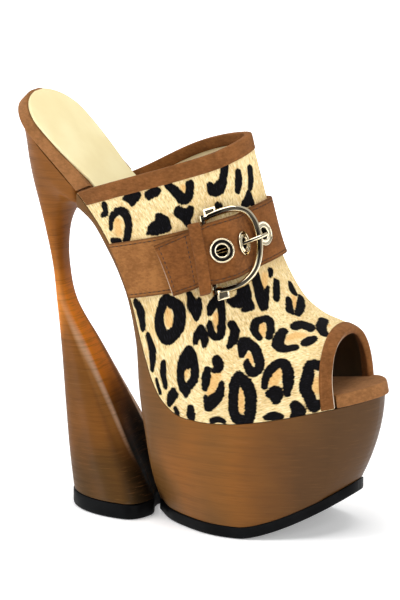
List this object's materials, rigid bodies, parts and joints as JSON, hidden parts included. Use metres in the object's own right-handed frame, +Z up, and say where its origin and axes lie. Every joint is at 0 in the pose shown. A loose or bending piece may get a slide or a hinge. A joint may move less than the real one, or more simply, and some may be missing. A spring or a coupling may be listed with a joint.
{
  "type": "platform clog",
  "caption": "Open-backed, peep-toe platform clog with a wooden platform and sculpted high heel, a printed hair upper and a buckled suede strap.",
  "frame": {"origin": "on the floor under the ball of the foot, on the outsole's flat underside", "axes": "+X from heel to toe, +Y towards the inner (medial) side of the foot, +Z up"},
  "size_m": [0.1838, 0.0791, 0.1957],
  "materials": {
    "wood": "stained and waxed",
    "rubber": "matte",
    "suede": "brushed suede",
    "sock": "smooth",
    "pelt": "short printed hair",
    "metal": "polished pale plating"
  },
  "bodies": {
    "root": {"heel": "wood", "heel_tip": "rubber", "platform": "wood", "outsole": "rubber", "footbed": "suede", "insole": "sock", "upper": "pelt", "collar_binding": "suede", "toe_binding": "suede", "buckle_strap": "suede", "billet_strap": "suede", "keeper": "suede", "buckle_frame": "metal", "prong": "metal", "eyelet_1": "metal", "eyelet_2": "metal", "eyelet_3": "metal"}
  },
  "joints": []
}
